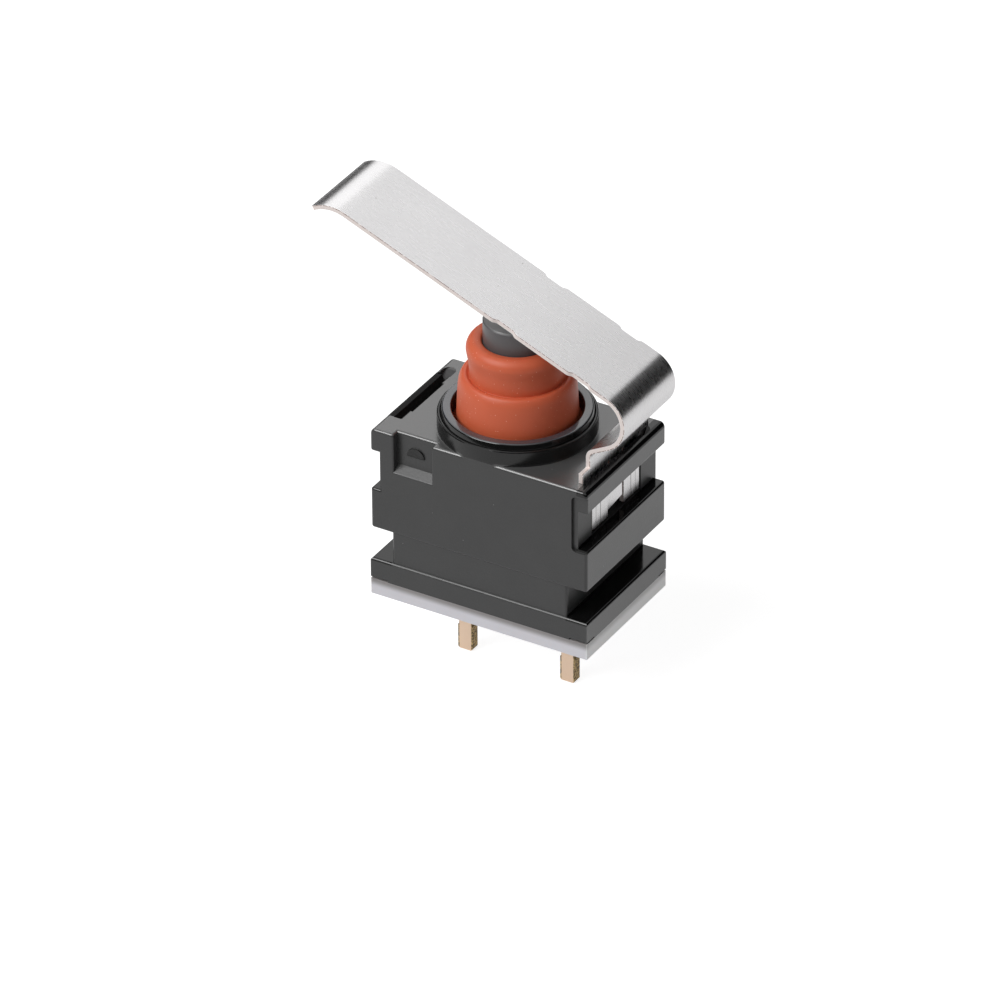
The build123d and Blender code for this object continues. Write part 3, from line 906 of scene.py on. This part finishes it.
# %% [markdown]
# ## The leaf lever
#
# The lever is stamped flat and then bent. It could be modelled bent, but then its outline and its
# bends would have to be kept in step by hand, so it is made here as it is in the press. First comes
# the line it is bent along, in the XZ plane. Its direction angle stays constant on each straight run
# and turns evenly through each bend, so the angle is a simple ramp, and adding up its cosine and
# sine gives the line. Then a flat blank is laid along that line: a grid whose rows run across the
# strip and whose cells are kept only where the stamped outline has metal. The grid is copied to both
# faces, half a thickness each way, and walls close every open edge.

# %% The line that the strip is bent along
strip_thick = 0.165
strip_half = 1.685
arm_slope = math.radians(22.5)
foot_x, foot_start = 3.64, 6.44
hook_x, hook_z = 6.262, 8.761
arm_reach = 12.454
tip_x, tip_z = hook_x - arm_reach, hook_z + arm_reach * math.tan(arm_slope)
bend_corners = np.array(
    ((foot_x, foot_start), (foot_x, 7.367), (hook_x, hook_z), (tip_x, tip_z), (tip_x - 0.582, tip_z - 0.343))
)
bend_radii = np.array((0.30, 1.0, 1.35))


def bent_line(corners, radii, step=0.01):
    """Distances along the line, with x, z and direction angle at each. Every bend takes
    radius * turn of length, and starts radius * tan(turn / 2) before its corner."""
    leg = np.diff(corners, axis=0)
    length = np.linalg.norm(leg, axis=1)
    heading = np.unwrap(np.arctan2(leg[:, 1], leg[:, 0]))
    turn = np.diff(heading)
    cut = radii * np.tan(np.abs(turn) / 2)
    straight = length - np.append(cut, 0.0) - np.insert(cut, 0, 0.0)
    arc = radii * np.abs(turn)
    pieces = np.zeros(len(straight) + len(arc))
    pieces[0::2], pieces[1::2] = straight, arc
    knots = np.insert(np.cumsum(pieces), 0, 0.0)
    distance = np.unique(np.concatenate((np.arange(0.0, knots[-1], step), knots)))
    angle = np.interp(distance, knots, np.repeat(heading, 2))
    middle = (angle[1:] + angle[:-1]) / 2
    moved = np.diff(distance)
    x = corners[0, 0] + np.insert(np.cumsum(np.cos(middle) * moved), 0, 0.0)
    z = corners[0, 1] + np.insert(np.cumsum(np.sin(middle) * moved), 0, 0.0)
    return distance, x, z, angle, knots


line_at, line_x, line_z, line_angle, bend_knots = bent_line(bend_corners, bend_radii)
print("strip above the slot:", round(line_at[-1], 3), "mm long")
print("it ends at x", round(line_x[-1], 3), "and z", round(line_z[-1], 3), "mm")

# %% [markdown]
# The blank's outline is written as a few widths: the two legs and the barb in the slot, the wide
# shoulders that rest on the case, and the long arm with shallow notches in its edges where the
# carrier strip was cut off. Rows and columns of the grid fall on those outlines, so the edges come
# out sharp and no cell has to be cut. The barb leans and twists a little, so its points are pushed
# in proportion to their depth and to their distance from its far edge.

# %% Lay out the flat blank
foot_depth = 2.14
barb_depth = 2.02
shoulder_half = 2.16
shoulder_height = 0.36
leg_edges = (0.53, 1.55)
leg_line = 1.0
barb_half = 0.42
barb_lean = 0.10
barb_slant = 0.12
notch_places = (0.47, 3.30)
notch_half_length = 0.36
notch_ramp = 0.16
notch_depth = 0.10
arm_start = bend_knots[4]
arm_end = bend_knots[5]


def notch_cut(distance):
    """Depth of the edge notches: a flat-bottomed dip whose ends are smooth ramps."""
    arm_x = np.interp(distance, line_at, line_x)
    reach = notch_half_length + notch_ramp / 2
    dips = [np.clip((reach - np.abs(arm_x - middle)) / notch_ramp, 0.0, 1.0) for middle in notch_places]
    near = np.maximum(*dips) * (distance > arm_start)
    return notch_depth * near * near * (3.0 - 2.0 * near)


def strip_rows():
    """Distances of the grid's rows: close together in the bends and at the notches."""
    below = np.concatenate((np.linspace(-foot_depth, -barb_depth, 3), np.linspace(-barb_depth, 0.0, 9)[1:]))
    foot = np.array((0.04, shoulder_height / 2, shoulder_height - 0.05, shoulder_height))
    bends = [np.linspace(bend_knots[k], bend_knots[k + 1], n) for k, n in ((1, 9), (3, 33), (5, 17))]
    arm = np.linspace(arm_start, arm_end, 150)[1:-1]
    tip = bend_knots[[-1]]
    rise = np.linspace(shoulder_height, bend_knots[1], 3)[1:-1]
    climb = np.linspace(bend_knots[2], bend_knots[3], 6)[1:-1]
    return np.concatenate((below, foot, rise, bends[0], climb, bends[1], arm, bends[2], tip))


row_at = strip_rows()
half_columns = np.array((barb_half, leg_edges[0], leg_line, leg_edges[1], strip_half, shoulder_half))
column_at = np.concatenate((-half_columns[::-1], (0.0,), half_columns))
print("blank grid:", len(row_at), "rows by", len(column_at), "columns")

# %% [markdown]
# Bending is then only a lookup: each row reads its x, z and angle from the line, and each point
# moves half a thickness along the line's normal. The two faces share their numbering, so a wall
# joins a cell's side to the same side on the other face wherever the next cell has no metal.


# %% Bend the blank and close its edges
def stamped_cells(rows, columns):
    """True for each grid cell that has metal, from the middle of the cell."""
    u = ((rows[1:] + rows[:-1]) / 2)[:, None]
    v = np.abs((columns[1:] + columns[:-1]) / 2)[None, :]
    legs = (u < 0) & (v > leg_edges[0]) & (v < leg_edges[1])
    barb = (u < 0) & (u > -barb_depth) & (v < barb_half)
    shoulders = (u > 0) & (u < shoulder_height)
    arm = (u > shoulder_height) & (v < strip_half)
    return legs | barb | shoulders | arm


def bend_blank(rows, columns):
    """Two bent copies of the grid, half a thickness each side of the line, joined by walls wherever a
    kept cell has no kept neighbour. In the slot the barb's x shifts by lean * twist * depth and its z
    by slant * depth * distance from its edge."""
    u, v = np.meshgrid(rows, columns, indexing="ij")
    edge = np.isclose(np.abs(v), strip_half) & (u > shoulder_height)
    v = np.where(edge, np.sign(v) * (strip_half - notch_cut(u)), v)
    x = np.interp(u, line_at, line_x)
    z = np.interp(u, line_at, line_z) + np.minimum(u, 0.0)
    angle = np.interp(u, line_at, line_angle)
    barb = (u < 0) & (np.abs(v) <= barb_half + 1e-6)
    twist = (barb_half - v) / (2.0 * barb_half)
    lean = np.where(barb, barb_lean * twist * u / barb_depth, 0.0)
    z = z - np.where(barb, barb_slant * u * (v + barb_half) / (2.0 * barb_half), 0.0)
    half = strip_thick / 2
    faces_xyz = [
        np.stack((x + lean - side * np.sin(angle), v, z + side * np.cos(angle)), axis=-1)
        for side in (-half, half)
    ]
    points = np.concatenate([f.reshape(-1, 3) for f in faces_xyz])
    kept = stamped_cells(rows, columns)
    n_rows, n_columns = u.shape
    number = np.arange(n_rows * n_columns).reshape(n_rows, n_columns)
    corners = np.stack((number[:-1, :-1], number[:-1, 1:], number[1:, 1:], number[1:, :-1]), axis=-1)
    second = n_rows * n_columns
    sheet = corners[kept]
    walls = []
    padded = np.pad(kept, 1)
    sides = (
        (padded[:-2, 1:-1], 0, 1),
        (padded[1:-1, 2:], 1, 2),
        (padded[2:, 1:-1], 2, 3),
        (padded[1:-1, :-2], 3, 0),
    )
    for neighbour, a, b in sides:
        open_cells = corners[kept & ~neighbour]
        wall = (open_cells[:, b], open_cells[:, a], open_cells[:, a] + second, open_cells[:, b] + second)
        walls.append(np.stack(wall, axis=-1))
    faces = np.concatenate([sheet[:, ::-1] + second, sheet] + walls)
    used, faces = np.unique(faces, return_inverse=True)
    through = np.where(used < second, -1.0, 1.0)
    return points[used], faces.reshape(-1, 4), through


leaf_points, leaf_faces, leaf_through = bend_blank(row_at, column_at)
leaf = make_piece("leaf_lever_bent", leaf_points, leaf_faces)
leaf.data.attributes.new("through", "FLOAT", "POINT").data.foreach_set("value", leaf_through)

# %% [markdown]
# A blanking press leaves a small round on every edge, so a Bevel modifier trims the sharp ones.

# %% Trim the edges
trim = leaf.modifiers.new("sheared_edge", "BEVEL")
trim.width = 0.016 * MM
trim.segments = 2
trim.limit_method = "ANGLE"
trim.angle_limit = math.radians(40)
trim.harden_normals = True
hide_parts("lever")
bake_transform(leaf)
print("leaf trimmed by", round(trim.width / MM, 3), "mm")

# %% [markdown]
# The strip is cold-rolled stainless steel. Its faces are bright with a very fine grain along the
# strip, a few faint pits, and soft clouds where the surface varies. Two dark lines are coined along
# each foot leg. Towards the hook the colour is painted a little darker, a painted shade for the darker
# reflection the arm shows there. A picture could hold all of this, but it would have one sharpness
# only, and noise worked out from the position stays fine at any distance.
#
# An attribute called through is -1 on one face and 1 on the other. The values between them are the
# sheared edge, which is rough, a little warm, and flecked where the metal tore.

# %% Leaf faces
leaf_finish, tree, shader, where = start_finish("leaf_stainless")
rolled = place_group(tree, rolling_grain, Vector=where, Along=2200.0, Across=24000.0)
pits = place_group(tree, pale_specks, Vector=where, Scale=1500.0, Size=0.06, Share=0.25)["Mask"]
steel = blend_colour(tree, rolled["Tone"], (0.84, 0.83, 0.835, 1.0), (0.90, 0.89, 0.895, 1.0))
steel = blend_colour(tree, product(tree, pits, 0.4), steel, grey(0.3, (1.0, 0.9, 0.8)))
x, y, z = axes(tree, where)
off_centre = calc(tree, "ABSOLUTE", y)
coined = largest(
    tree, in_band(tree, off_centre, 0.985, 1.02, 0.012), in_band(tree, off_centre, 1.29, 1.31, 0.012)
)
coined = product(tree, coined, in_band(tree, z, 0.0, foot_start - 0.24, 0.05))
steel = blend_colour(tree, product(tree, coined, 0.85), steel, grey(0.05))
# painted shade: the steel is darkened towards the hook, where the arm mirrors a darker room
painted_shade_to_hook = in_band(tree, x, 2.2, 50.0, 3.0)
steel = blend_colour(tree, product(tree, painted_shade_to_hook, 0.12), steel, grey(0.0))

# %% Leaf edges
through = add_node(tree, "ShaderNodeAttribute", {"attribute_name": "through"}).outputs["Fac"]
on_edge = place_group(tree, band_between, Value=through, Low=-0.88, High=0.88, Soft=0.06)["Mask"]
burr = place_group(tree, band_between, Value=through, Low=-0.95, High=-0.60, Soft=0.08)["Mask"]
blots = place_group(tree, mould_grain, Vector=where, Scale=12000.0)["Height"]
dots = add_node(tree, "ShaderNodeMapRange", None, Value=blots, From_Min=0.62, From_Max=0.80)
burr = product(tree, burr, dots.outputs["Result"])
edge_colour = blend_colour(tree, burr, (0.80, 0.72, 0.69, 1.0), (0.16, 0.07, 0.04, 1.0))
shine = blend_number(tree, rolled["Height"], 0.24, 0.32)
fill(
    tree,
    shader,
    Base_Color=blend_colour(tree, on_edge, steel, edge_colour),
    Roughness=blend_number(tree, on_edge, shine, 0.5),
    Metallic=blend_number(tree, on_edge, 1.0, 0.35),
)
add_bump(tree, shader, rolled["Height"], 0.001, 0.13)
dress(leaf, leaf_finish)

# %% [markdown]
# ## Studio
#
# The photograph has a white ground and soft light. The switch stands on a sheet of white paper. A
# paper under lamps bright enough to make it white would bleach the leaf, so the paper is light grey
# and glows a little for the camera and for reflections only. The object's shadow still falls on it.

# %% Floor
floor_half = 130.0
floor_z = span_of("terminal_common")[0][2]
floor_points = np.array(((-1, -1), (1, -1), (1, 1), (-1, 1))) * floor_half
floor = make_piece("paper_floor", np.column_stack((floor_points, np.full(4, floor_z))), [(0, 1, 2, 3)])
floor_finish, tree, shader, where = start_finish("paper_white")
paper_tone, camera_glow, mirror_glow = 0.52, 0.8, 0.45
path = tree.nodes.new("ShaderNodeLightPath").outputs
camera_lift = calc(tree, "MULTIPLY", path["Is Camera Ray"], camera_glow)
mirror_lift = calc(tree, "MULTIPLY", path["Is Glossy Ray"], mirror_glow)
glow = calc(tree, "ADD", camera_lift, mirror_lift)
fill(tree, shader, Base_Color=grey(paper_tone), Roughness=0.9, Specular_IOR_Level=0.0)
fill(tree, shader, Emission_Color=grey(1.0), Emission_Strength=glow)
dress(floor, floor_finish)

# %% [markdown]
# The world is white for the camera, for reflections and through clear parts, and much dimmer for the
# light it sheds, so that the ground is white without more light on the object.

# %% World
world = bpy.data.worlds.new("studio_world")
bpy.context.scene.world = world
world.use_nodes = True
world_light, world_seen = 0.3, 1.0
tree = world.node_tree
sky = tree.nodes["Background"]
path = tree.nodes.new("ShaderNodeLightPath").outputs
seen = largest(tree, path["Is Camera Ray"], path["Is Glossy Ray"], path["Is Transmission Ray"])
fill(tree, sky, Color=grey(1.0), Strength=blend_number(tree, seen, world_light, world_seen))
print("world strength:", world_seen, "where it is seen,", world_light, "as light")

# %% [markdown]
# A dark room is what makes metal and black plastic look like themselves: it draws the black ledges
# and the dark band on the hook. Dark patches could be painted there, but they would stay put when
# the view turns. Here the room is a curtain far round the set that only reflections see. It reaches
# below the table's edge and has two higher folds. The hook mirrors the first. The second hangs
# behind the rear lamp, because a lamp is see-through in a reflection, and the white world behind it
# would add to its brightness.

# %% Dark curtain for reflections
curtain_radius, curtain_posts = 600.0, 96
curtain_low, curtain_high = -150.0, 410.0
fold_height = 420.0
fold_places = ((56.0, 16.0), (120.5, 18.0))
turn = np.linspace(0.0, 2.0 * np.pi, curtain_posts, endpoint=False)
folds = sum(np.exp(-(((np.degrees(turn) - middle) / width) ** 2)) for middle, width in fold_places)
curtain_ring = [
    np.column_stack((curtain_radius * np.cos(turn), curtain_radius * np.sin(turn), z))
    for z in (np.full(curtain_posts, curtain_low), curtain_high + fold_height * folds)
]
curtain = make_piece("dark_curtain", np.concatenate(curtain_ring), grid_quads(2, curtain_posts, False, True))
curtain.visible_camera = False
curtain.visible_diffuse = False
curtain.visible_shadow = False
curtain_finish, tree, shader, where = start_finish("curtain_dark")
fill(tree, shader, Base_Color=grey(0.01), Roughness=1.0, Specular_IOR_Level=0.0)
dress(curtain, curtain_finish)

# %% [markdown]
# Two soft boxes light the set. The stronger one stands high at the front left and gives the faces
# their tones. The weaker one stands behind at the left and draws the bright streak on the rolled
# tip. A sun lamp would be simpler, but its hard shadow isn't in the photograph.


# %% Lamps
def soft_lamp(name, place_mm, aim_mm, size_mm, watts):
    """A square area lamp that looks from place to aim. Its own face is hidden from the camera."""
    data = bpy.data.lights.new(name, "AREA")
    data.shape = "SQUARE"
    data.size = size_mm * MM
    data.energy = watts
    lamp = bpy.data.objects.new(name, data)
    bpy.context.scene.collection.objects.link(lamp)
    away = np.array(place_mm, float) - np.array(aim_mm, float)
    away /= np.linalg.norm(away)
    side = np.cross((0.0, 1.0, 0.0), away)
    side /= np.linalg.norm(side)
    turn = np.eye(4)
    turn[:3, 0], turn[:3, 1], turn[:3, 2] = side, np.cross(away, side), away
    turn[:3, 3] = np.array(place_mm) * MM
    lamp.matrix_world = turn.T.tolist()
    lamp.visible_camera = False
    return lamp


soft_lamp("softbox_above", (-170.0, -290.0, 330.0), (0.0, 0.0, 5.0), 300.0, 1.85)
soft_lamp("softbox_behind", (-206.0, 350.0, 262.0), (0.0, 0.0, 6.0), 280.0, 0.28)

# %% [markdown]
# ## Finish
#
# The view transform is Standard, so that a colour renders as it is written.

# %% View transform
bpy.context.scene.view_settings.view_transform = "Standard"
